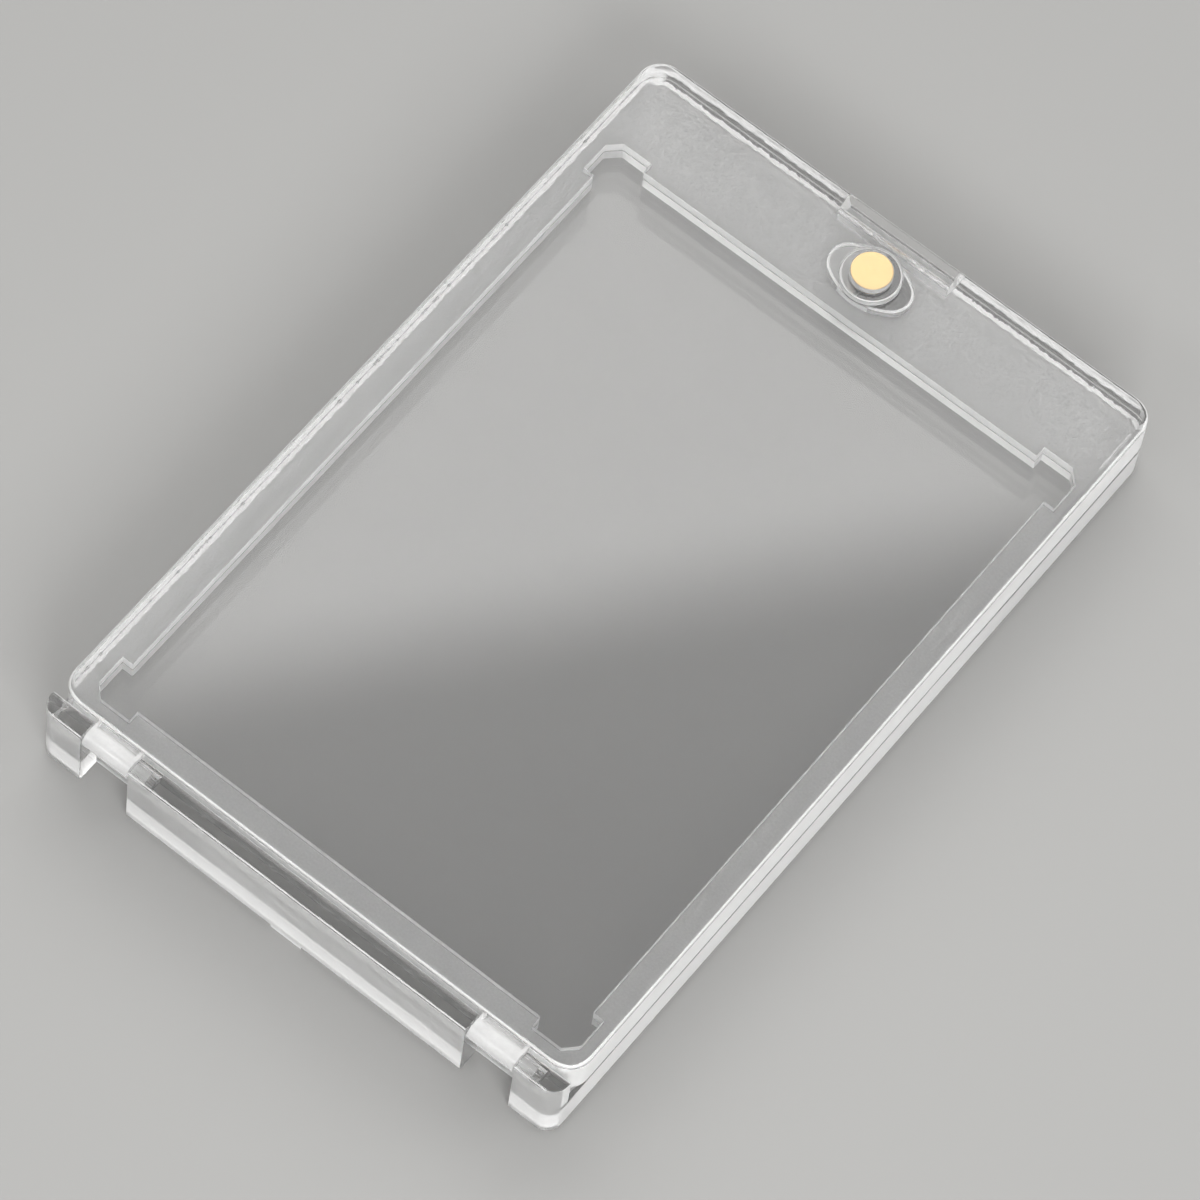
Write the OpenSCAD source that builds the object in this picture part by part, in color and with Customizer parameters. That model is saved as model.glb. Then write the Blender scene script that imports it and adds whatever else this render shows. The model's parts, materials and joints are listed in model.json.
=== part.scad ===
// Hinged magnetic display case for one thick trading card.
// X runs across the case, Y from the hinge end to the magnet end, Z up.
// The origin is the middle of the underside.

/* [Case] */
// Width over the long sides
case_w = 72; // [70.5:0.5:84]
// Length from the hinge bars' front face to the magnet end
case_l = 109.4; // [108:0.2:116]
// Thickness of the closed case
case_t = 11.3; // [11:0.1:12]
// Height of the base under the seam
base_t = 5.4; // [5:0.1:5.6]
// Seam between the base and the closed cover
seam = 0.2; // [0.15:0.05:0.3]
// Plan radius of the cover's corners and of the base's far corners
corner_r = 3; // [2:0.5:4]
// Plan radius of the base's corners at the hinge end
hinge_corner_r = 2; // [1.5:0.5:2.5]
// Rounding of the cover's upper edge
top_edge_r = 0.7; // [0.4:0.1:0.9]
// Rounding of the base's lower edge
bottom_edge_r = 0.5; // [0.3:0.1:0.6]

/* [Card well] */
// Width of a standard card
card_w = 63.5; // [63:0.5:64]
// Length of a standard card
card_l = 88.9; // [88.4:0.1:89.4]
// Play round the card on each side
card_play = 0.5; // [0.3:0.1:0.6]
// Depth of the well, shared by the base and the cover
well_depth = 3.2; // [2.4:0.1:3.4]
// Thickness of the base's window
base_window_t = 3.8; // [3.4:0.1:4]
// Distance of the well's middle from the front face
well_y = 52.3; // [52:0.1:52.6]
// How far the corner reliefs reach past the well's walls
ear_out = 1.45; // [1:0.05:1.5]
// How far the corner reliefs run along the well's walls
ear_run = 4.1; // [3.5:0.1:5]
// Chamfer at the outer corner of each relief
ear_chamfer = 1.5; // [1:0.1:2]

/* [Hinge] */
// Depth of the three fixed hinge bars
bar_depth = 2.6; // [2.5:0.05:2.65]
// Height of the fixed hinge bars
bar_h = 10.9; // [10.7:0.1:10.9]
// Length of the middle bar
mid_bar_w = 47; // [40:1:50]
// Width of each gap that a knuckle sits in
gap_w = 6.7; // [6.5:0.1:8]
// Play of a knuckle at each side of its gap
knuckle_play = 0.2; // [0.15:0.05:0.3]
// Radius of the knuckles' barrels
knuckle_r = 1.35; // [1.3:0.05:1.35]
// Radius of the stub pins
pin_r = 0.9; // [0.8:0.05:0.9]
// Running clearance between a stub pin and its bore
pin_play = 0.05; // [0.03:0.01:0.08]
// Length of a stub pin past its knuckle
pin_l = 2.2; // [1.8:0.1:2.4]
// Distance of the cover's hinge end from the front face
cover_y = 3; // [2.95:0.05:3.1]

/* [Magnets] */
// Diameter of both magnets
magnet_d = 5; // [4:0.5:5]
// Thickness of the cover's magnet
cover_magnet_t = 2; // [1.8:0.1:2.2]
// Thickness of the base's magnet
base_magnet_t = 3; // [2:0.5:3]
// Clear plastic left over the cover's magnet
magnet_cover_t = 1.5; // [1.2:0.1:1.6]
// Distance of the magnets from the magnet end
magnet_inset = 6.2; // [6:0.1:6.4]
// Length of the oval flange of the plug under the cover's magnet
plug_l = 11.1; // [9:0.1:12]
// Width of the oval flange
plug_w = 7.3; // [6.8:0.1:7.4]
// Radius of the oval's two ends
plug_end_r = 2.7; // [2.2:0.1:3.2]
// Height of the plug's round spigot above its flange
spigot_h = 1.3; // [1.1:0.1:1.4]

/* [Fingernail notch] */
// Width of the notch in the cover's end face
notch_w = 15.8; // [12:0.2:20]
// How deep the notch reaches in, which is also its upper radius
notch_r = 2.2; // [1.6:0.1:2.4]
// Height of the notch's straight lower part
notch_straight = 2.3; // [1.5:0.1:2.4]

/* [Hidden] */
$fn = 96;
eps = 0.01;          // overlap of cutters past the faces that they cut
cut = 5;             // length by which cutters run clear of the part

half_w = case_w / 2;
front_y = -case_l / 2;                    // the case is drawn from its front face back
cover_z = base_t + seam;                  // underside of the cover
well_w = card_w + 2 * card_play;
well_l = card_l + 2 * card_play;
well_top = base_window_t + well_depth;    // inner face of the cover's window

axis_y = knuckle_r;                       // barrels end flush with the front face
axis_z = 9.6;                             // height of the hinge line
bar_front_r = 0.4;                        // roundings of the bars' upper edges
bar_back_r = 0.7;
mid_half = mid_bar_w / 2;
block_x = mid_half + gap_w;               // inner end of each corner block
knuckle_w = gap_w - 2 * knuckle_play;
knuckle_x = mid_half + gap_w / 2;         // middle of each knuckle
bore_r = pin_r + pin_play;
bore_end_play = 0.8;                      // bores run on past the ends of the pins
bore_l = pin_l + bore_end_play;
web_rise = 0.6;                           // web that carries the barrel, over and under its axis
web_drop = 1;
web_root = 1;                             // how far the web reaches into the cover
web_l = cover_y - axis_y + web_root;
cheek_w = 0.4;                            // ends of the web, which close the groove above it
cheek_rise = 1.2;

magnet_y = case_l - magnet_inset;         // from the front face, as all lengths here
magnet_play = 0.05;                       // radial play of the magnets in their pockets
magnet_pocket_d = magnet_d + 2 * magnet_play;
magnet_sink = 0.2;                        // how far the base's magnet lies under the seam
cover_magnet_top = case_t - magnet_cover_t;
cover_magnet_z = cover_magnet_top - cover_magnet_t;
flange_top = well_top;                    // the plug's flange is as thick as the well is deep
spigot_top = flange_top + spigot_h;
spigot_step = 0.05;                       // spigot stands in this far from the flange's sides
spigot_d = plug_w - 2 * spigot_step;
spigot_chamfer = 0.2;
plug_play = 0.08;                         // glue gap round and over the plug
glue_step = 0.3;                          // step round the flange's upper edge, for glue
base_magnet_top = base_t - magnet_sink;
base_magnet_z = base_magnet_top - base_magnet_t;

mark_d = 2;                               // round ejector marks on the corner blocks
mark_depth = 0.12;
mark_x = 32.8;
gate_w = 4.3;                             // gate pad that squares the lower front edge
gate_x = -0.8;

// 2D: outline of the case round its hinge end
module hinge_end_outline() {
    for (s = [-1, 1]) {
        translate([s * (half_w - hinge_corner_r), hinge_corner_r]) circle(hinge_corner_r);
    }
    translate([hinge_corner_r - half_w, 0]) square([case_w - 2 * hinge_corner_r, hinge_corner_r]);
    translate([-half_w, hinge_corner_r]) square([case_w, bar_depth]);
}

// 2D: w by h, with the corner at [w, 0] rounded by e
module rounded_side(w, h, e) {
    square([w - e, h]);
    translate([w - e, e]) square([e, h - e]);
    translate([w - e, e]) circle(e, $fn = 48);
}

// Quarter of a round corner of plan radius r, in the quadrant of positive x and y
module corner(r, h, e) {
    rotate_extrude(angle = 90) rounded_side(r, h, e);
}

// One end of a slab: the strip between its two corners, and the corners
module slab_end(r, h, e) {
    for (s = [0, 1]) {
        mirror([s, 0, 0]) translate([half_w - r, 0, 0]) corner(r, h, e);
    }
    rotate([90, 0, 90])
        translate([0, 0, r - half_w])
            linear_extrude(case_w - 2 * r) rounded_side(r, h, e);
}

// Slab of full width from y0 to y1, h thick, with corner radii r0 and r1 and its lower edge rounded by e
module slab(y0, y1, r0, r1, h, e) {
    translate([0, y0 + r0, 0]) mirror([0, 1, 0]) slab_end(r0, h, e);
    translate([0, y1 - r1, 0]) slab_end(r1, h, e);
    translate([0, y1 - r1, 0]) rotate([90, 0, 0])
        linear_extrude(y1 - y0 - r0 - r1) {
            rounded_side(half_w, h, e);
            mirror([1, 0]) rounded_side(half_w, h, e);
        }
}

// 2D: one corner relief of the well, in the quadrant of positive x and y
module ear() {
    x0 = well_w / 2 - ear_run;
    y0 = well_l / 2 - ear_run;
    x1 = well_w / 2 + ear_out;
    y1 = well_l / 2 + ear_out;
    polygon([[x0, y0], [x1, y0], [x1, y1 - ear_chamfer], [x1 - ear_chamfer, y1], [x0, y1]]);
}

// 2D: the card well with its four corner reliefs
module well_outline() {
    translate([0, well_y]) {
        square([well_w, well_l], center = true);
        for (sx = [0, 1], sy = [0, 1]) {
            mirror([sx, 0]) mirror([0, sy]) ear();
        }
    }
}

// 2D: four-arc oval with semi-axes a and b and end radius r
module oval(a, b, r) {
    cx = a - r;
    k = (cx * cx - (b - r) * (b - r)) / (2 * (b - r));
    side_r = b + k;
    tangent_x = cx * side_r / (side_r - r);
    intersection() {
        translate([0, k]) circle(side_r);
        translate([0, -k]) circle(side_r);
        square([2 * tangent_x, 2 * b], center = true);
    }
    for (s = [-1, 1]) {
        translate([s * cx, 0]) circle(r);
    }
}

// 2D: outline of the plug's flange, grown by g all round
module flange_outline(g) {
    oval(plug_l / 2 + g, plug_w / 2 + g, plug_end_r + g);
}

// 2D: section of a hinge bar in depth and height, from z0 up
module bar_section(z0) {
    translate([0, z0]) square([bar_depth, bar_h - bar_back_r - z0]);
    translate([0, bar_h - bar_back_r - eps])
        square([bar_depth - bar_back_r, bar_back_r - bar_front_r + eps]);
    translate([bar_front_r, bar_h - bar_front_r - eps])
        square([bar_depth - bar_back_r - bar_front_r, bar_front_r + eps]);
    translate([bar_front_r, bar_h - bar_front_r]) circle(bar_front_r);
    translate([bar_depth - bar_back_r, bar_h - bar_back_r]) circle(bar_back_r);
}

// Row of three hinge bars, before the knuckle gaps are cut
module bars() {
    intersection() {
        rotate([90, 0, 90])
            translate([0, 0, -half_w])
                linear_extrude(case_w) bar_section(base_t);
        linear_extrude(case_t) hinge_end_outline();
    }
}

// Blind bores for the stub pins: in the middle bar and in the right corner block
module pin_bores() {
    for (x = [-mid_half, block_x]) {
        translate([x - eps, axis_y, axis_z])
            rotate([0, 90, 0]) cylinder(r = bore_r, h = bore_l + eps);
    }
}

module base() {
    color([0.86, 0.9, 0.92, 0.45])
    translate([0, front_y, 0])
    difference() {
        union() {
            slab(0, case_l, hinge_corner_r, corner_r, base_t, bottom_edge_r);
            bars();
            translate([gate_x - gate_w / 2, 0, 0])
                cube([gate_w, 2 * bottom_edge_r, 2 * bottom_edge_r]);
        }
        for (s = [-1, 1]) {
            translate([s * knuckle_x - gap_w / 2, -cut, -cut])
                cube([gap_w, cut + cover_y, case_t + 2 * cut]);
            translate([s * mark_x, axis_y, bar_h - mark_depth])
                cylinder(d = mark_d, h = cut);
        }
        translate([0, 0, base_window_t]) linear_extrude(base_t) well_outline();
        translate([0, magnet_y, base_magnet_z])
            cylinder(d = magnet_pocket_d, h = base_t);
        pin_bores();
    }
}

// One knuckle: barrel, the web to the cover, its end cheeks and its stub pin
module knuckle(x) {
    x0 = x - knuckle_w / 2;
    translate([x0, axis_y, axis_z])
        rotate([0, 90, 0]) cylinder(r = knuckle_r, h = knuckle_w);
    translate([x0, axis_y, axis_z - web_drop]) cube([knuckle_w, web_l, web_rise + web_drop]);
    for (dx = [0, knuckle_w - cheek_w]) {
        translate([x0 + dx, axis_y, axis_z - web_drop]) cube([cheek_w, web_l, cheek_rise + web_drop]);
    }
    translate([x + knuckle_w / 2 - eps, axis_y, axis_z])
        rotate([0, 90, 0]) cylinder(r = pin_r, h = pin_l + eps);
}

module fingernail_notch() {
    translate([-notch_w / 2, case_l, cover_z + notch_straight])
        rotate([0, 90, 0]) cylinder(r = notch_r, h = notch_w);
    translate([-notch_w / 2, case_l - notch_r, cover_z - cut])
        cube([notch_w, notch_r + cut, cut + notch_straight]);
}

module cover() {
    color([0.9, 0.93, 0.95, 0.45])
    translate([0, front_y, 0])
    difference() {
        union() {
            translate([0, 0, case_t]) mirror([0, 0, 1])
                slab(cover_y, case_l, corner_r, corner_r, case_t - cover_z, top_edge_r);
            for (s = [-1, 1]) {
                knuckle(s * knuckle_x);
            }
        }
        translate([0, 0, cover_z - cut])
            linear_extrude(well_top - cover_z + cut) well_outline();
        translate([0, magnet_y, 0]) {
            linear_extrude(flange_top + plug_play) flange_outline(plug_play);
            cylinder(d = spigot_d + 2 * plug_play, h = spigot_top + plug_play);
            cylinder(d = magnet_pocket_d, h = cover_magnet_top);
        }
        fingernail_notch();
    }
}

module cover_magnet() {
    color("gold")
    translate([0, front_y + magnet_y, cover_magnet_z])
        cylinder(d = magnet_d, h = cover_magnet_t);
}

module magnet_plug() {
    color([0.9, 0.93, 0.95, 0.45])
    translate([0, front_y + magnet_y, cover_z])
    difference() {
        union() {
            linear_extrude(flange_top - glue_step - cover_z) flange_outline(0);
            linear_extrude(flange_top - cover_z) flange_outline(-glue_step);
            cylinder(d = spigot_d, h = spigot_top - spigot_chamfer - cover_z);
            translate([0, 0, spigot_top - spigot_chamfer - cover_z])
                cylinder(d1 = spigot_d, d2 = spigot_d - 2 * spigot_chamfer, h = spigot_chamfer);
        }
        translate([0, 0, cover_magnet_z - cover_z])
            cylinder(d = magnet_pocket_d, h = cut);
    }
}

module base_magnet() {
    color("silver")
    translate([0, front_y + magnet_y, base_magnet_z])
        cylinder(d = magnet_d, h = base_magnet_t);
}

base();
cover();
cover_magnet();
magnet_plug();
base_magnet();
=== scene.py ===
import json
import math

import bmesh
import bpy
from mathutils import Matrix, Vector

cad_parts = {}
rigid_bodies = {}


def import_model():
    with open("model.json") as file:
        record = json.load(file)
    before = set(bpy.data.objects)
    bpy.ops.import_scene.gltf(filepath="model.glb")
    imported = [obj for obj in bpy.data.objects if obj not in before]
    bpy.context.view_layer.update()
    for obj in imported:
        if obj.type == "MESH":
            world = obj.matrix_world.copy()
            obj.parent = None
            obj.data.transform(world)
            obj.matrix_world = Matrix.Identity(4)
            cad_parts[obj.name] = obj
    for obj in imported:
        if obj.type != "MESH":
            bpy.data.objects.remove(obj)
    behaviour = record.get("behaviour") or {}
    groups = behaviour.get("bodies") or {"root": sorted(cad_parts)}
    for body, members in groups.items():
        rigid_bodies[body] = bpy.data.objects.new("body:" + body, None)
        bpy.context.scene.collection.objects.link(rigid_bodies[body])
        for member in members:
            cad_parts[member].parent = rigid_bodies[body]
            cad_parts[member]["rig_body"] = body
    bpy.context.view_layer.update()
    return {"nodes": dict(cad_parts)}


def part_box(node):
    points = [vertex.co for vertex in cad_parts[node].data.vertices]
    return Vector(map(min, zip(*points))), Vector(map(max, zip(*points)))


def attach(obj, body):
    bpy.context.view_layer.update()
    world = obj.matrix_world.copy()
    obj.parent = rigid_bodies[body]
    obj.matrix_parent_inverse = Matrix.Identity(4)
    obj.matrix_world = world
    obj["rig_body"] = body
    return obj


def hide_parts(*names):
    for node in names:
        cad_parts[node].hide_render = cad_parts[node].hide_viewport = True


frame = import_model()

MM = 0.001

# ---------------------------------------------------------------- the case's sizes
HALF_W, HALF_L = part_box("cover")[1].xy
CORNER_R = 3 * MM                              # upright corners of both mouldings
COVER_Y = -HALF_L + 3 * MM                     # the cover's hinge end, behind the bars
SEAM_LOW, SEAM_HIGH = 5.4 * MM, 5.6 * MM       # the two parting faces
WELL_HALF_W = 34 * MM                          # the card well lies inside these three
WELL_LOW_Y, WELL_HIGH_Y = -49 * MM, 44.5 * MM
RIGHT_SIDE_X = 32.9 * MM                       # the long right side lies past this
FRONT_END_Y = -HALF_L + 3.1 * MM               # the bars' and the cover's fronts lie before this
UPPER_EDGE_Z = 10.4 * MM                       # the upper edges lie above this
KNUCKLE_Y = COVER_Y - 0.1 * MM                 # the knuckles lie before this
NOTCH_HALF_W, NOTCH_Y = 8.2 * MM, HALF_L - 2.3 * MM
MAGNET_Y = HALF_L - 6.2 * MM
# Nearer to the magnet than this lie the middles of the recess's round walls and of the notch's back
SATIN_R = 4.1 * MM
BEADS = ((6.6 * MM, 6.99 * MM), (8.05 * MM, 8.29 * MM))     # from and to, in height

# ---------------------------------------------------------------- camera
LENS, SENSOR = 220.8, 36       # mm
CLIP_START = 10 * MM
DISTANCE = 818.1 * MM
AZIMUTH = math.radians(29.75)
ELEVATION = math.radians(62.68)
ROLL = math.radians(9.56)
AIM = Vector((1.2, -2.4, 5.6)) * MM


def make_camera():
    data = bpy.data.cameras.new("camera")
    data.lens = LENS
    data.sensor_width = SENSOR
    data.clip_start = CLIP_START
    camera = bpy.data.objects.new("camera", data)
    bpy.context.scene.collection.objects.link(camera)
    back = Vector((
        math.sin(AZIMUTH) * math.cos(ELEVATION),
        -math.cos(AZIMUTH) * math.cos(ELEVATION),
        math.sin(ELEVATION),
    ))
    turn = (-back).to_track_quat("-Z", "Y").to_matrix() @ Matrix.Rotation(ROLL, 3, "Z")
    camera.matrix_world = Matrix.LocRotScale(AIM + back * DISTANCE, turn.to_quaternion(), None)
    bpy.context.scene.camera = camera


# ---------------------------------------------------------------- node helpers
def node_tree(name):
    material = bpy.data.materials.new(name)
    material.use_nodes = True
    tree = material.node_tree
    shader = tree.nodes["Principled BSDF"]
    return material, tree, shader


def add(tree, kind, inputs=None, **settings):
    node = tree.nodes.new(kind)
    for key, value in settings.items():
        setattr(node, key, value)
    for key, value in (inputs or {}).items():
        socket = node.inputs[key]
        if isinstance(value, bpy.types.NodeSocket):
            tree.links.new(value, socket)
        else:
            socket.default_value = value
    return node


def math_node(tree, operation, *values):
    return add(tree, "ShaderNodeMath", dict(enumerate(values)), operation=operation).outputs[0]


def place_in(tree):
    """Where the point lies on its piece at rest, in the shared frame."""
    return add(tree, "ShaderNodeTexCoord").outputs["Object"]


def noise(tree, vector, scale, detail, roughness):
    return add(tree, "ShaderNodeTexNoise", {
        "Vector": vector, "Scale": scale, "Detail": detail, "Roughness": roughness,
    }).outputs["Fac"]


def ramp(tree, value, low, high, to_low=0.0, to_high=1.0):
    """Goes smoothly from to_low, where value is low, to to_high, where it is high."""
    return add(tree, "ShaderNodeMapRange", {
        "Value": value, "From Min": low, "From Max": high, "To Min": to_low, "To Max": to_high,
    }, interpolation_type="SMOOTHSTEP").outputs[0]


def fall(tree, value, low, high):
    """1 where value is below low, 0 where it is above high."""
    return ramp(tree, value, low, high, 1.0, 0.0)


def blend_colour(tree, shader, share, first, second):
    """Makes the base colour run from first to second as share goes from 0 to 1."""
    mix = add(tree, "ShaderNodeMix", {"Factor": share}, data_type="RGBA")
    mix.inputs["A"].default_value = first
    mix.inputs["B"].default_value = second
    tree.links.new(mix.outputs["Result"], shader.inputs["Base Color"])


def relief(tree, shader, height, strength, depth):
    """Raises the surface by up to depth where height is 1."""
    bump = add(tree, "ShaderNodeBump", {"Height": height, "Strength": strength, "Distance": depth})
    tree.links.new(bump.outputs[0], shader.inputs["Normal"])


def scaled(colour, share):
    return (*[min(share * c, 1) for c in colour[:3]], 1)


# ---------------------------------------------------------------- plastics
PLASTIC_IOR = 1.49
PLASTIC_TINT = (0.998, 0.998, 0.996, 1)
WAVE_DEPTH = 0.002 * MM
GRAIN_DEPTH = 0.04 * MM         # of the etched faces

RIM = 0.5 * MM                  # clear rim outside the frost
EDGE_FROST_AND_GLOW = 0.55 * MM          # width of the white band along two sides: heavy frost, with painted light on the sides toward the panel
FROST_BLUR = 0.06 * MM          # over this width the frost begins
HEAVY_BLUR = 0.1 * MM           # over this width the white band ends
TORN_FULL, TORN_END = 1.6 * MM, 2.2 * MM       # nearer than this to those sides its edge is torn
TEAR = 1.1 * MM                 # full swing of the noise that tears it

# The thin L-shaped line near the far right corner
L_FOOT = (34.4 * MM, 46.3 * MM)
L_CORNER = (34.4 * MM, 52.0 * MM)
L_END = (35.1 * MM, 52.0 * MM)
LINE_FULL, LINE_END = 0.06 * MM, 0.12 * MM     # half its width, without and with its soft edge

# Milkiness of upright faces by height in mm, partly a ground skin and partly painted glow for light that
# the plates guide there. The right side has a clear strip at the seam
SIDE_MILK_AND_PAINTED_GLOW = ((0, 0.55), (5.05, 0.6), (5.15, 0.0), (5.85, 0.0), (5.95, 0.6), (11.3, 0.55))
# The bars' fronts have a thin clear line low down, then a white band of painted glow for light that the
# plates guide there, and are clearer above it
FRONT_PAINTED_GLOW = (
    (0, 0.8), (0.5, 0.8), (0.6, 0.15), (1.1, 0.15), (1.4, 0.8), (4.4, 0.65), (4.8, 0.2), (10.9, 0.25))


def acrylic(name):
    material, tree, shader = node_tree(name)
    shader.inputs["IOR"].default_value = PLASTIC_IOR
    return material, tree, shader


def tint(tree, shader, grain, darkest):
    """Mottles the plastic's own colour: the grain runs from darkest to full."""
    blend_colour(tree, shader, ramp(tree, grain, 0.3, 0.7), scaled(PLASTIC_TINT, darkest), PLASTIC_TINT)


def polished_plastic(name):
    """Clear polished acrylic with a faint waviness from the mould."""
    material, tree, shader = acrylic(name)
    shader.inputs["Base Color"].default_value = PLASTIC_TINT
    shader.inputs["Transmission Weight"].default_value = 1.0
    shader.inputs["Roughness"].default_value = 0.0
    waves = noise(tree, place_in(tree), scale=90.0, detail=1.0, roughness=0.4)
    relief(tree, shader, waves, strength=1.0, depth=WAVE_DEPTH)
    return material


def satin_and_painted_glow_plastic(name, roughness, milk, darkest=0.94):
    """The same acrylic, rough and milky: partly a finely ground skin, partly painted glow and highlight
    lines where the milk is high.
    """
    material, tree, shader = acrylic(name)
    tint(tree, shader, noise(tree, place_in(tree), scale=2500.0, detail=3.0, roughness=0.7), darkest)
    shader.inputs["Roughness"].default_value = roughness
    shader.inputs["Transmission Weight"].default_value = 1 - milk
    return material


def banded_plastic(name, roughness, levels):
    """Satin acrylic for an upright face, whose milk by height is partly painted glow. levels lists
    heights in mm with the milk there, low to high.
    """
    material = satin_and_painted_glow_plastic(name, roughness, milk=0.5, darkest=0.995)
    tree = material.node_tree
    z = add(tree, "ShaderNodeSeparateXYZ", {0: place_in(tree)}).outputs["Z"]
    top = levels[-1][0]
    share = add(tree, "ShaderNodeMapRange", {"Value": z, "From Max": top * MM}).outputs[0]
    curve = add(tree, "ShaderNodeValToRGB", {0: share})
    stops = curve.color_ramp.elements
    while len(stops) < len(levels):
        stops.new(0.5)
    for stop, (height, milk) in zip(stops, levels):
        stop.position = height / top
        stop.color = (1 - milk, 1 - milk, 1 - milk, 1)
    clear = tree.nodes["Principled BSDF"].inputs["Transmission Weight"]
    tree.links.new(curve.outputs["Color"], clear)
    return material


def inside_outline(tree, x, y, hinge_y):
    """How far a point lies inside a rounded rectangle, from hinge_y to the magnet end."""
    from_middle = math_node(tree, "ABSOLUTE", math_node(tree, "SUBTRACT", y, (hinge_y + HALF_L) / 2))
    past_x = math_node(tree, "SUBTRACT", math_node(tree, "ABSOLUTE", x), HALF_W - CORNER_R)
    past_y = math_node(tree, "SUBTRACT", from_middle, (HALF_L - hinge_y) / 2 - CORNER_R)
    out_x = math_node(tree, "MAXIMUM", past_x, 0.0)
    out_y = math_node(tree, "MAXIMUM", past_y, 0.0)
    square = math_node(tree, "MULTIPLY_ADD", out_y, out_y, math_node(tree, "MULTIPLY", out_x, out_x))
    inner = math_node(tree, "MINIMUM", math_node(tree, "MAXIMUM", past_x, past_y), 0.0)
    reach = math_node(tree, "ADD", math_node(tree, "SQRT", square), inner)
    return math_node(tree, "SUBTRACT", CORNER_R, reach)


def line_mark(tree, x, y, start, end):
    """1 inside a thin straight line from start to end, which lies along x or y."""
    past = []
    for along, first, last in zip((x, y), start, end):
        from_middle = math_node(tree, "ABSOLUTE", math_node(tree, "SUBTRACT", along, (first + last) / 2))
        past.append(math_node(tree, "SUBTRACT", from_middle, abs(last - first) / 2))
    return fall(tree, math_node(tree, "MAXIMUM", *past), LINE_FULL, LINE_END)


def heavy_frost_and_painted_glow(tree, place, x, y, ragged, left, far):
    """White frost in two bands and in the L-shaped line. The bands lie only on the left and far sides,
    toward the panel, so their white is partly painted light.

    On the left the band fills the rim, at the far end it lies inside the rim.
    """
    def band(start):
        begins = ramp(tree, ragged, start, start + FROST_BLUR)
        ends = fall(tree, ragged, start + EDGE_FROST_AND_GLOW, start + EDGE_FROST_AND_GLOW + HEAVY_BLUR)
        return math_node(tree, "MULTIPLY", begins, ends)

    streaks = noise(tree, place, scale=3000.0, detail=3.0, roughness=0.7)
    on_left = math_node(tree, "MULTIPLY", left, band(0.0))
    on_far = math_node(tree, "MULTIPLY", far, band(RIM))
    bands = math_node(tree, "MULTIPLY", math_node(tree, "MAXIMUM", on_left, on_far),
                      ramp(tree, streaks, 0.3, 0.45, 0.93, 1.0))
    lines = math_node(tree, "MAXIMUM", line_mark(tree, x, y, L_FOOT, L_CORNER),
                      line_mark(tree, x, y, L_CORNER, L_END))
    return math_node(tree, "MAXIMUM", bands, lines)


def frosted_plastic(name, hinge_y, has_heavy_frost_and_painted_glow):
    """The etched parting face, with a clear rim inside its outline, which starts at hinge_y."""
    material, tree, shader = acrylic(name)
    place = place_in(tree)
    x, y = add(tree, "ShaderNodeSeparateXYZ", {0: place}).outputs[:2]
    left = fall(tree, x, -HALF_W + TORN_FULL, -HALF_W + TORN_END)
    far = ramp(tree, y, HALF_L - TORN_END, HALF_L - TORN_FULL)
    torn = math_node(tree, "SUBTRACT", noise(tree, place, scale=1300.0, detail=4.0, roughness=0.75), 0.5)
    torn = math_node(tree, "MULTIPLY", torn,
                     ramp(tree, math_node(tree, "MAXIMUM", left, far), 0.0, 1.0, 0.15, 1.0))
    ragged = math_node(tree, "MULTIPLY_ADD", torn, TEAR, inside_outline(tree, x, y, hinge_y))
    frost = ramp(tree, ragged, RIM, RIM + FROST_BLUR)

    grain = noise(tree, place, scale=3400.0, detail=3.0, roughness=0.7)
    tint(tree, shader, grain, 0.86)
    milk = math_node(tree, "MULTIPLY", ramp(tree, grain, 0.35, 0.65, 0.08, 0.36), frost)
    # The cover's white bands: heavy frost, with painted light on the sides toward the panel
    if has_heavy_frost_and_painted_glow:
        milk = math_node(tree, "MAXIMUM", milk, heavy_frost_and_painted_glow(tree, place, x, y, ragged, left, far))
    tree.links.new(math_node(tree, "SUBTRACT", 1.0, milk), shader.inputs["Transmission Weight"])
    rough = math_node(tree, "MULTIPLY", ramp(tree, grain, 0.35, 0.65, 0.36, 0.62), frost)
    tree.links.new(rough, shader.inputs["Roughness"])
    relief(tree, shader, math_node(tree, "MULTIPLY", grain, frost), strength=0.5, depth=GRAIN_DEPTH)
    return material


# ---------------------------------------------------------------- other materials
PLATING_DEPTH = 0.02 * MM       # depth of the plating's unevenness


def metal(name, colour, roughness, grain):
    """Satin plating, a little uneven in tone."""
    material, tree, shader = node_tree(name)
    shader.inputs["Metallic"].default_value = 1.0
    fine = noise(tree, place_in(tree), scale=grain, detail=3.0, roughness=0.6)
    blend_colour(tree, shader, fine, scaled(colour, 0.8), scaled(colour, 1.2))
    rough = ramp(tree, fine, 0.3, 0.7, roughness * 0.8, roughness * 1.25)
    tree.links.new(rough, shader.inputs["Roughness"])
    relief(tree, shader, fine, strength=0.25, depth=PLATING_DEPTH)
    return material


def plain(name, colour, roughness):
    material, _, shader = node_tree(name)
    shader.inputs["Base Color"].default_value = (*colour, 1)
    shader.inputs["Roughness"].default_value = roughness
    return material


# ---------------------------------------------------------------- pieces
EDGE_R = 0.05 * MM                     # how far sharp edges are eased
MAGNET_EDGE_R = 2 * EDGE_R
MAGNET_INSET = 0.02 * MM               # keeps a magnet's faces off the plastic's
SHARP = math.radians(25)               # edges that turn by more than this are eased
CREASE = math.radians(50)              # edges that turn by less than this are shaded smooth
FLAT = math.radians(0.2)               # faces that turn by less than this are joined
SAME_POINT = 0.0001 * MM


def around(middle, reach):
    """The lowest and highest corner of a box, from its middle and its reach each way."""
    middle, reach = Vector(middle), Vector(reach)
    return middle - reach, middle + reach


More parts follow.
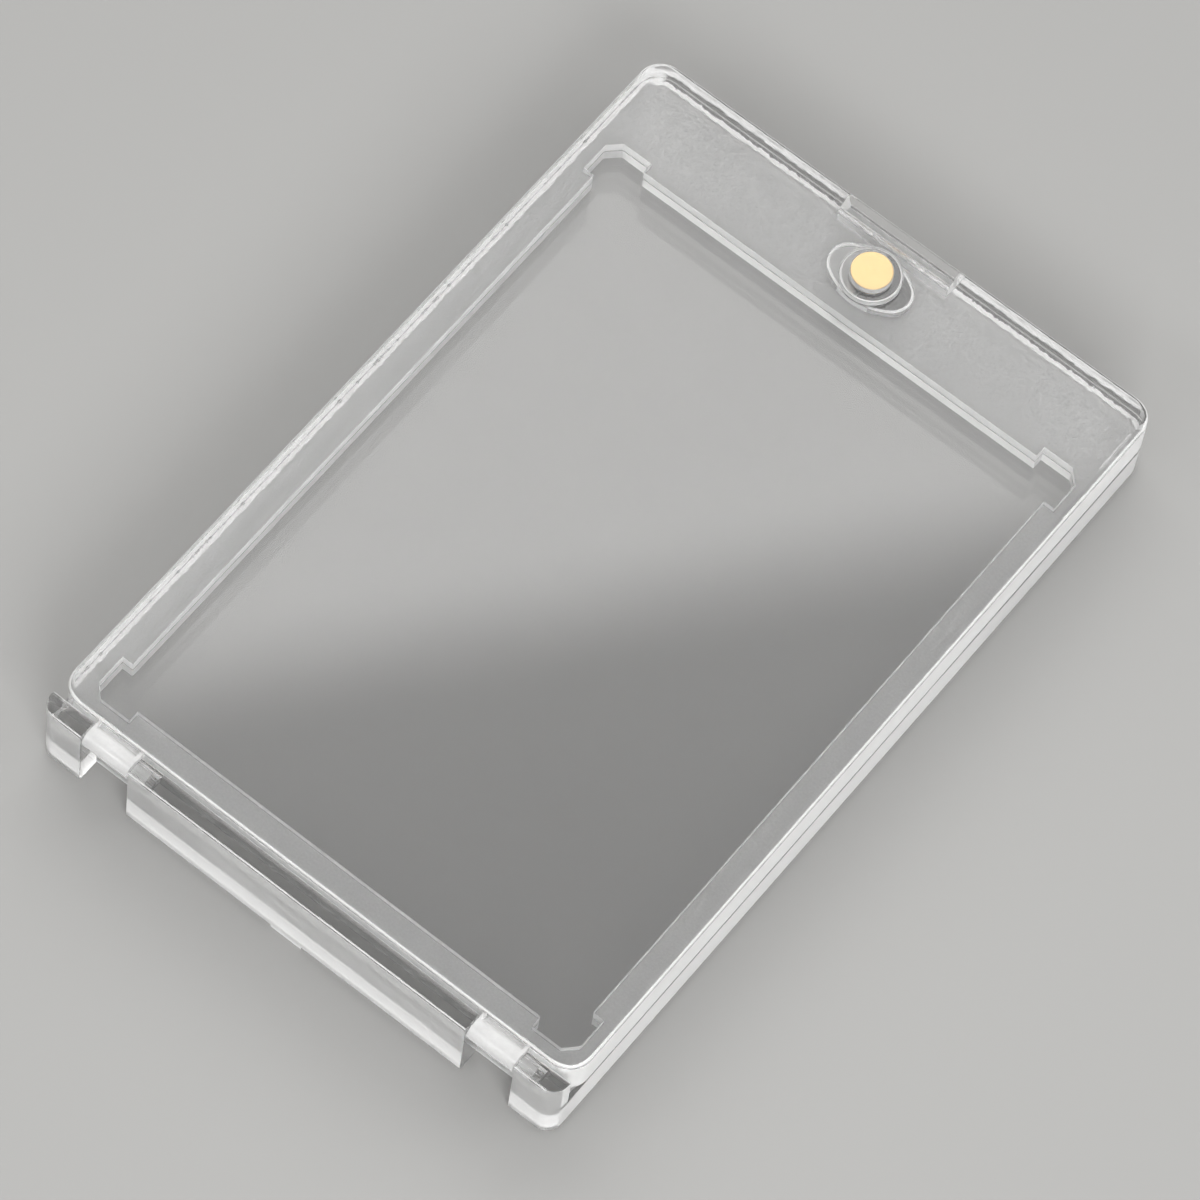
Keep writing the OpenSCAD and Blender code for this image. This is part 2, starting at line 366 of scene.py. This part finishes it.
def within(point, box):
    low, high = box
    return all(low[i] <= point[i] <= high[i] for i in range(3))


# The edges in these boxes stay sharp: bevelled ejector marks and gate pad would fold the mesh
MARKS = [
    around((side * 32.8 * MM, -HALF_L + 1.35 * MM, 10.8 * MM), (1.15 * MM, 1.15 * MM, 0.09 * MM))
    for side in (-1, 1)]
GATE = around((-0.8 * MM, -HALF_L, 0), (2.3 * MM, 0.6 * MM, 0.6 * MM))
# The recess's mouth and the plug's lower edge, which show no line in the photo
MOUTH = around((0, MAGNET_Y, SEAM_HIGH), (7 * MM, 3.95 * MM, 0.02 * MM))


def moulding(node, edge_r, keep_sharp=(), inset=0.0):
    """The node's own solid with its sharp edges eased by edge_r, as a moulded piece has them."""
    mesh = bpy.data.meshes.new(node + "_piece")
    shape = bmesh.new()
    shape.from_mesh(frame["nodes"][node].data)
    bmesh.ops.remove_doubles(shape, verts=shape.verts, dist=SAME_POINT)
    bmesh.ops.dissolve_limit(
        shape, angle_limit=FLAT, verts=shape.verts, edges=shape.edges, delimit=set())
    edges = []
    for edge in shape.edges:
        middle = (edge.verts[0].co + edge.verts[1].co) / 2
        if edge.calc_face_angle(0) > SHARP and not any(within(middle, box) for box in keep_sharp):
            edges.append(edge)
    bmesh.ops.bevel(
        shape, geom=edges, offset=edge_r, offset_type="OFFSET", segments=2, profile=0.5,
        affect="EDGES", clamp_overlap=False)
    if inset:
        low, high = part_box(node)
        middle = (low + high) / 2
        for vert in shape.verts:
            for i in range(3):
                share = 1 - 2 * inset / (high[i] - low[i])
                vert.co[i] = middle[i] + (vert.co[i] - middle[i]) * share
    for face in shape.faces:
        face.smooth = True
    for edge in shape.edges:
        edge.smooth = edge.calc_face_angle(0) < CREASE
    shape.to_mesh(mesh)
    shape.free()
    piece = bpy.data.objects.new(node + "_piece", mesh)
    bpy.context.scene.collection.objects.link(piece)
    weighted = piece.modifiers.new("even_normals", "WEIGHTED_NORMAL")
    weighted.keep_sharp = True
    weighted.weight = 100
    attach(piece, frame["nodes"][node]["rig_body"])
    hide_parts(node)
    return piece


def dress(piece, materials, choose=None):
    """Gives the piece its materials. choose names the one that a face takes."""
    piece.data.materials.clear()
    for material in materials.values():
        piece.data.materials.append(material)
    if choose:
        names = list(materials)
        for face in piece.data.polygons:
            face.material_index = names.index(choose(face))


# ---------------------------------------------------------------- which finish a face takes
NEAR = 0.01 * MM                       # a face this near to a parting face's height lies in it


def upright(face):
    return abs(face.normal.z) <= 0.01


def finish_of(face):
    """For both mouldings. White finishes stand in for light that the plates guide there."""
    at, n = face.center, face.normal
    if min(abs(at.z - SEAM_LOW), abs(at.z - SEAM_HIGH)) < NEAR and abs(n.z) > 0.99:
        return "frosted"
    if not upright(face):
        # Slanting faces along the upper edges take painted highlight lines
        slants = 0.4 < n.z < 0.8 and max(abs(n.x), abs(n.y)) > 0.5
        return "edge" if at.z > UPPER_EDGE_Z and slants else "polished"
    # The well's walls: a satin skin, partly painted glow
    if abs(at.x) < WELL_HALF_W and WELL_LOW_Y < at.y < WELL_HIGH_Y:
        return "satin"
    # The bars' fronts: a white band of painted glow
    if n.y < -0.3 and at.y < FRONT_END_Y:
        return "front"
    # The right side: a satin skin, partly painted glow
    return "wall" if n.x > 0.3 and at.x > RIGHT_SIDE_X else "polished"


def cover_finish(face):
    """As for both, but the cover's knuckles, recess and notch come first."""
    at = face.center
    # The knuckles: white with painted glow for light that the cover guides there
    if at.y < KNUCKLE_Y:
        return "knuckle"
    # The recess's round walls: milky, as a painted bright ring round the magnet
    if math.hypot(at.x, at.y - MAGNET_Y) < SATIN_R and upright(face):
        return "satin"
    if abs(at.x) < NOTCH_HALF_W and at.y > NOTCH_Y and abs(face.normal.x) > 0.7:
        return "wall"                          # the two ends of the notch, white with painted glow
    return finish_of(face)


def plug_finish(face):
    """The beads round the upper edges of the plug's flange and spigot are milky: painted highlight lines.
    """
    z = face.center.z
    if abs(z - SEAM_HIGH) < NEAR:
        return "frosted"
    return "bead" if any(low < z < high for low, high in BEADS) else "polished"


# ---------------------------------------------------------------- studio
FLOOR_HALF = 1.5
FLOOR_Z = -0.05 * MM
FLOOR_COLOUR = (0.33, 0.328, 0.322)
SKY_COLOUR = (1.0, 0.995, 0.985, 1)
AMBIENT, PANEL = 0.5, 2.5              # strengths of the surroundings and of the panel

# The panel's lower edge mirrors in the window as a soft line across it
PANEL_EDGE_NORMAL = Vector((-0.7143, 0.5521, -0.43)).normalized()
PANEL_MIDDLE = Vector((-0.2277, 0.3985, 0.8885)).normalized()

# Name, place, size and power of each lamp. All of them face the origin
LAMPS = (
    ("fill", (0.78, -0.68, 0.65), (0.7, 0.5), 11.0),
    ("right_strip", (0.77, 0.40, 0.42), (0.9, 0.12), 1.8),
    ("front_strip", (-0.23, -0.75, 0.58), (0.9, 0.12), 1.8),
)


def make_floor():
    mesh = bpy.data.meshes.new("floor")
    corners = [(x * FLOOR_HALF, y * FLOOR_HALF, FLOOR_Z) for x, y in ((-1, -1), (1, -1), (1, 1), (-1, 1))]
    mesh.from_pydata(corners, [], [(0, 1, 2, 3)])
    floor = bpy.data.objects.new("floor", mesh)
    bpy.context.scene.collection.objects.link(floor)
    mesh.materials.append(plain("floor", FLOOR_COLOUR, 0.6))


def soft_light(name, place, size, power):
    data = bpy.data.lights.new(name, "AREA")
    data.shape = "RECTANGLE"
    data.size, data.size_y = size
    data.energy = power
    lamp = bpy.data.objects.new(name, data)
    bpy.context.scene.collection.objects.link(lamp)
    lamp.location = place
    lamp.rotation_mode = "QUATERNION"
    lamp.rotation_quaternion = (-Vector(place)).to_track_quat("-Z", "Y")


def panel_shape(tree, way):
    """1 in the directions where the panel is, 0 elsewhere, with soft borders."""
    def along(direction):
        dot = add(tree, "ShaderNodeVectorMath", {0: way, 1: direction}, operation="DOT_PRODUCT")
        return dot.outputs["Value"]

    rise = along(PANEL_EDGE_NORMAL)
    side = math_node(tree, "ABSOLUTE", along(PANEL_EDGE_NORMAL.cross(PANEL_MIDDLE)))
    ahead = ramp(tree, along(PANEL_MIDDLE), 0.0, 0.2)
    glow = ramp(tree, rise, -0.06, 0.02, 0.0, 0.2)
    edge = math_node(tree, "MULTIPLY_ADD", ramp(tree, rise, -0.010, 0.010), 0.8, glow)
    upward = math_node(tree, "MULTIPLY", edge, fall(tree, rise, 0.62, 0.78))
    sideways = math_node(tree, "MULTIPLY", fall(tree, side, 0.42, 0.55), ahead)
    return math_node(tree, "MULTIPLY", upward, sideways)


def make_world():
    """Pale surroundings with one large soft panel, behind the case and to its left."""
    world = bpy.data.worlds.new("studio")
    bpy.context.scene.world = world
    world.use_nodes = True
    tree = world.node_tree
    sky = add(tree, "ShaderNodeTexCoord").outputs["Generated"]
    way = add(tree, "ShaderNodeVectorMath", {0: sky}, operation="NORMALIZE").outputs[0]
    height = add(tree, "ShaderNodeSeparateXYZ", {0: way}).outputs["Z"]
    surround = ramp(tree, height, 0.05, 0.75, 0.05 * AMBIENT, 1.5 * AMBIENT)
    strength = add(tree, "ShaderNodeMix", {0: panel_shape(tree, way), 2: surround, 3: PANEL}).outputs[0]
    background = tree.nodes["Background"]
    background.inputs["Color"].default_value = SKY_COLOUR
    tree.links.new(strength, background.inputs["Strength"])


# ---------------------------------------------------------------- the scene
BOUNCES = 80                           # light crosses many faces of clear plastic

scene = bpy.context.scene
scene.view_settings.view_transform = "Standard"
scene.cycles.max_bounces = BOUNCES
scene.cycles.transmission_bounces = BOUNCES
scene.cycles.glossy_bounces = BOUNCES

make_camera()
make_floor()
make_world()
for lamp in LAMPS:
    soft_light(*lamp)

polished = polished_plastic("polished_acrylic")
# The milk of these finishes paints light: glow on the bars' fronts and knuckles, highlight lines on the
# upper edges and beads, and part of the satin walls' brightness
side_finishes = {
    "satin": satin_and_painted_glow_plastic("satin_and_painted_glow_acrylic", roughness=0.5, milk=0.55),
    "wall": banded_plastic("wall_satin_and_painted_glow_acrylic", roughness=0.35, levels=SIDE_MILK_AND_PAINTED_GLOW),
    "front": banded_plastic("front_painted_glow_acrylic", roughness=0.3, levels=FRONT_PAINTED_GLOW),
    "edge": satin_and_painted_glow_plastic("edge_painted_highlight_acrylic", roughness=0.15, milk=0.6),
}
knuckle = satin_and_painted_glow_plastic("knuckle_painted_glow_acrylic", roughness=0.2, milk=0.35)
bead = satin_and_painted_glow_plastic("bead_painted_highlight_acrylic", roughness=0.3, milk=0.95)
base_frost = frosted_plastic("base_frost", -HALF_L, has_heavy_frost_and_painted_glow=False)
cover_frost_and_painted_glow = frosted_plastic("cover_frost_and_painted_glow", COVER_Y, has_heavy_frost_and_painted_glow=True)
gold = metal("gold_plating", (0.76, 0.53, 0.22), roughness=0.36, grain=2400.0)
nickel = metal("nickel_plating", (0.66, 0.65, 0.63), roughness=0.25, grain=5200.0)

dress(moulding("base", EDGE_R, [*MARKS, GATE]),
      {"polished": polished, "frosted": base_frost, **side_finishes}, finish_of)
dress(moulding("cover", EDGE_R, [MOUTH]),
      {"polished": polished, "frosted": cover_frost_and_painted_glow, **side_finishes, "knuckle": knuckle}, cover_finish)
dress(moulding("magnet_plug", EDGE_R, [MOUTH]),
      {"polished": polished, "frosted": cover_frost_and_painted_glow, "bead": bead}, plug_finish)
dress(moulding("cover_magnet", MAGNET_EDGE_R, inset=MAGNET_INSET), {"gold": gold})
dress(moulding("base_magnet", MAGNET_EDGE_R, inset=MAGNET_INSET), {"nickel": nickel})
